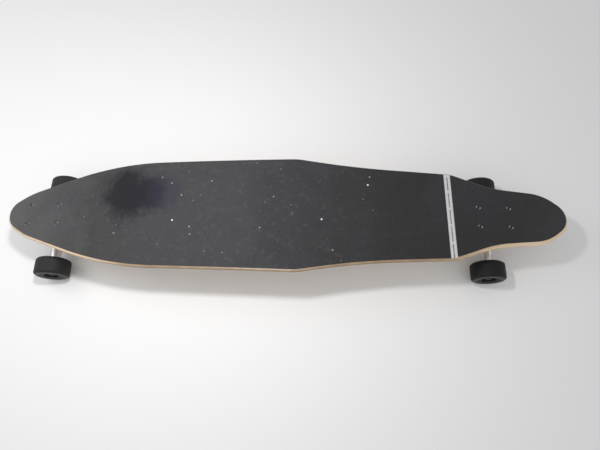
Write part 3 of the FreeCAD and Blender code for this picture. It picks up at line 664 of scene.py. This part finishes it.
# Bushings: a swelling barrel by the board, a cone by the road. Each runs from its washer,
# held by the board, to the ring of the hanger.
bushingShape = {
    "bore": 0.00490, "web": 0.0025, "height": 0.014, "wide": 0.0124, "narrow": 0.0104,
    "swell": 0.0006, "edge": 0.0009, "ringReach": 0.041, "bands": 24, "boreBands": 6, "steps": 96,
}


# Outer radius: straight from ring end to washer end, plus a half sine of swell, less a
# quarter circle at both ends; then straight back along the bore.
def bushingProfile(atRing, atWasher):
    shape = bushingShape
    share = np.linspace(0.0, 1.0, shape["bands"])
    intoEdge = np.clip(1 - np.minimum(share, 1 - share) * shape["height"] / shape["edge"], 0, 1)
    edge = shape["edge"] * (1 - np.sqrt(1 - intoEdge ** 2))
    outer = atRing + (atWasher - atRing) * share + shape["swell"] * np.sin(np.pi * share) - edge
    height = shape["web"] + shape["height"] * share
    outside = np.stack([outer, height], -1)
    back = np.linspace(height[-1], height[0], shape["boreBands"])
    inside = np.stack([np.full_like(back, shape["bore"]), back], -1)
    return np.concatenate([outside, inside])


steerRing = {}
pinLine = {}
for end in ends:
    shape = bushingShape
    steer = jointOf[end + "_steer"]
    line = np.array(steer["axis"], float)
    steerRing[end] = np.array(steer["pos_m"], float) + line * shape["ringReach"]
    pinLine[end] = np.array([line[2] * sideOf[end], 0.0, -abs(line[0])])
    for name, direction, atWasher in (("road_bushing", pinLine[end], shape["narrow"]),
                                      ("board_bushing", -pinLine[end], shape["wide"])):
        profile = bushingProfile(shape["wide"], atWasher)
        piece = turnedPiece(end + "_" + name + "_soft", profile, steerRing[end], direction, shape["steps"])
        paint(piece, finishes["bushing_urethane"])
        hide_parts(end + "_" + name)
        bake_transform(piece)
print("bushings: made")


# Threads on the ends that stand out of the nuts, and the locking ring let into each nut. A
# thread's radius is a triangle wave of height over pitch less the turn, and fades at its ends.
threadShape = {"depth": 0.00030, "lift": 0.00003, "sink": 0.0004, "fade": 0.35,
               "steps": 32, "rowsPerPitch": 8, "leastRows": 6}
threadKinds = {
    "axle": {"radius": 0.0040, "pitch": 0.00106, "start": -0.0012, "long": 0.0012,
             "slot": "axle_steel", "finish": "hubShadeSteel"},
    "kingpin": {"radius": 0.00476, "pitch": 0.00106, "start": 0.0255, "long": 0.0021,
                "slot": "kingpin_steel", "finish": "kingpin_steel"},
    "bolt": {"radius": 0.0024, "pitch": 0.00079, "start": 0.0154, "long": 0.0015,
             "slot": "fastener_steel", "finish": "fastener_steel"},
}
lockRing = {"axle": (0.0041, 0.0052), "kingpin": (0.0049, 0.0060), "bolt": (0.0025, 0.0037),
            "rise": 0.0007, "sink": 0.0001, "bands": 9}


def threadPoints(kind, foot, direction):
    shape = threadShape
    rows = max(int(round(kind["long"] / kind["pitch"] * shape["rowsPerPitch"])), shape["leastRows"])
    height = np.linspace(0.0, kind["long"], rows)[:, None]
    turn = np.arange(shape["steps"])[None] / shape["steps"]
    wave = np.abs(((height / kind["pitch"] - turn) % 1.0) * 2 - 1)
    fade = np.clip(np.minimum(height, kind["long"] - height) / (shape["fade"] * kind["pitch"]), 0, 1)
    radius = kind["radius"] + shape["lift"] + shape["depth"] * wave * fade
    rings = np.stack([radius, height + np.zeros_like(turn)], -1)
    inner = np.stack([np.full((2, shape["steps"]), kind["radius"] - shape["sink"]),
                      np.repeat([[kind["long"]], [0.0]], shape["steps"], 1)], -1)
    return turnedPoints(np.concatenate([rings, inner]), foot, direction, shape["steps"])


# Half round of a locking ring standing out of the nut's face between two radii.
def lockProfile(low, high):
    turn = np.linspace(0.0, np.pi, lockRing["bands"])
    middle, half = (low + high) / 2, (high - low) / 2
    return np.stack([middle + half * np.cos(turn), lockRing["rise"] * np.sin(turn) - lockRing["sink"]], -1)


def threadedEnd(name, kindName, foot, direction, body):
    kind = threadKinds[kindName]
    points = threadPoints(kind, foot, direction)
    thread = gridMesh(name + "_thread", points, closeRows=True, closeColumns=True)
    paint(thread, finishes[kind["finish"]])
    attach(thread, body)
    profile = lockProfile(*lockRing[kindName])[::-1]
    ring = turnedPiece(name + "_lockRing", profile, foot, direction, threadShape["steps"])
    paint(ring, finishes["pivot_plastic"])
    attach(ring, body)


# Half the bolt spread along and across the truck, at each of the four bolts.
boltSpots = [(along * deckShape["boltSpread"][0] / 2, across * deckShape["boltSpread"][1] / 2)
             for along in (-1, 1) for across in (-1, 1)]
for end in ends:
    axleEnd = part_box(end + "_axle")[1].y
    hub = np.array([axleX[end], 0.0, jointOf[end + "_left_spin"]["pos_m"][2]])
    for hand, side in handOf.items():
        outward = np.array([0.0, side, 0.0])
        foot = hub + outward * (axleEnd + threadKinds["axle"]["start"])
        threadedEnd(end + "_axle_" + hand, "axle", foot, outward, end + "_hanger_set")
    foot = steerRing[end] + pinLine[end] * threadKinds["kingpin"]["start"]
    threadedEnd(end + "_kingpin", "kingpin", foot, pinLine[end], "board")
    down = -np.array([tailNormal[0] * sideOf[end], 0.0, tailNormal[2]])
    seat = np.array([seatX[end], 0.0, seatZ])
    lengthwise = np.array([tailNormal[2], 0.0, -tailNormal[0] * sideOf[end]])
    for index, (along, across) in enumerate(boltSpots):
        foot = seat + lengthwise * along + np.array([0.0, across, 0.0]) + down * threadKinds["bolt"]["start"]
        threadedEnd(end + "_bolt_" + str(index), "bolt", foot, down, "board")
print("threads and locking rings: made")


# Floor, lights and camera. The floor is bare from below, so that the underside can be seen. A
# light is its place, size, power and aim.
stageLook = {
    "floorSize": 40.0, "floorColour": rgb(0.84, 0.84, 0.845), "floorRoughness": 0.7, "floorSpecular": 0.2,
    "floorHeight": -0.0002, "backdrop": rgb(0.80, 0.80, 0.805),
    "roomFrom": Vector((-0.15, -0.85, 0.25)), "roomFade": (-0.7, 0.9, 0.30, 0.86),
    "key": ((-0.12, 0.02, 0.856), 0.09, 3.6, (-0.36, 0.02, 0.0)),
    "fill": ((-1.10, 0.22, 1.00), 0.80, 4.1, (-0.82, 0.12, 0.0)),
}


def makeFloor():
    look = stageLook
    half = look["floorSize"] / 2
    edge = np.linspace(-half, half, 3)
    x, y = np.meshgrid(edge, edge, indexing="ij")
    floor = gridMesh("paleFloor", np.stack([x, y, np.full_like(x, look["floorHeight"])], -1), flip=True)
    material, tree, shader, where = startMaterial(
        "paleFloor", look["floorColour"], look["floorRoughness"], 0.0, look["floorSpecular"])
    under = addNode(tree, "NewGeometry").outputs["Backfacing"]
    clear = addNode(tree, "BsdfTransparent")
    both = addNode(tree, "MixShader", {0: under, 1: shader.outputs[0], 2: clear.outputs[0]})
    tree.links.new(both.outputs[0], tree.nodes["Material Output"].inputs["Surface"])
    paint(floor, material)


def addLight(name, place, size, power, target):
    data = bpy.data.lights.new(name, "AREA")
    data.shape = "DISK"
    data.size = size
    data.energy = power
    lamp = bpy.data.objects.new(name, data)
    bpy.context.scene.collection.objects.link(lamp)
    lamp.location = place
    lamp.rotation_euler = (Vector(target) - Vector(place)).to_track_quat("-Z", "Y").to_euler()


# Room light: brighter from the near side, by the cosine to that direction, and an even pale
# backdrop for the camera, for gloss and through clear things.
def makeWorld():
    look = stageLook
    world = bpy.data.worlds.new("softRoom")
    world.use_nodes = True
    tree = world.node_tree
    tree.nodes.clear()
    where = addNode(tree, "TexCoord").outputs["Generated"]
    given = {0: where, 1: look["roomFrom"].normalized()}
    facing = addNode(tree, "VectorMath", given, operation="DOT_PRODUCT").outputs["Value"]
    level = spread(tree, facing, *look["roomFade"])
    room = addNode(tree, "Background", {"Color": rgb(1.0, 1.0, 1.0), "Strength": level})
    backdrop = addNode(tree, "Background", {"Color": look["backdrop"], "Strength": 1.0})
    path = addNode(tree, "LightPath").outputs
    seen = calc(tree, "MAXIMUM", path["Is Camera Ray"], path["Is Glossy Ray"])
    seen = calc(tree, "MAXIMUM", seen, path["Is Transmission Ray"])
    both = addNode(tree, "MixShader", {0: seen, 1: room.outputs[0], 2: backdrop.outputs[0]})
    addNode(tree, "OutputWorld", {"Surface": both.outputs[0]})
    bpy.context.scene.world = world


# Camera turned by pitch, then yaw, then roll, as found from the photograph.
cameraView = {
    "place": (0.0587, -0.3585, 1.0371), "pitch": 1.21782, "yaw": 0.07729, "roll": -0.06565,
    "focal": 479.36, "imageWidth": 600.0, "sensor": 36.0, "nearest": 0.01,
}


def addCamera():
    look = cameraView
    forward = Vector((0.0, math.cos(look["pitch"]), -math.sin(look["pitch"])))
    up = Vector((0.0, math.sin(look["pitch"]), math.cos(look["pitch"])))
    right = Vector((1.0, 0.0, 0.0))
    turn = Matrix.Rotation(look["yaw"], 3, "Z")
    forward, up, right = turn @ forward, turn @ up, turn @ right
    rollCos, rollSin = math.cos(look["roll"]), math.sin(look["roll"])
    right, up = right * rollCos + up * rollSin, up * rollCos - right * rollSin
    data = bpy.data.cameras.new("photoView")
    data.sensor_width = look["sensor"]
    data.lens = look["focal"] / look["imageWidth"] * look["sensor"]
    data.clip_start = look["nearest"]
    camera = bpy.data.objects.new("photoView", data)
    bpy.context.scene.collection.objects.link(camera)
    basis = Matrix((right, up, -forward)).transposed().to_4x4()
    camera.matrix_world = Matrix.Translation(look["place"]) @ basis
    bpy.context.scene.camera = camera


makeFloor()
makeWorld()
addLight("keyLight", *stageLook["key"])
addLight("fillLight", *stageLook["fill"])
bpy.context.scene.view_settings.view_transform = "Standard"
addCamera()
print("stage: floor, light, room and camera")
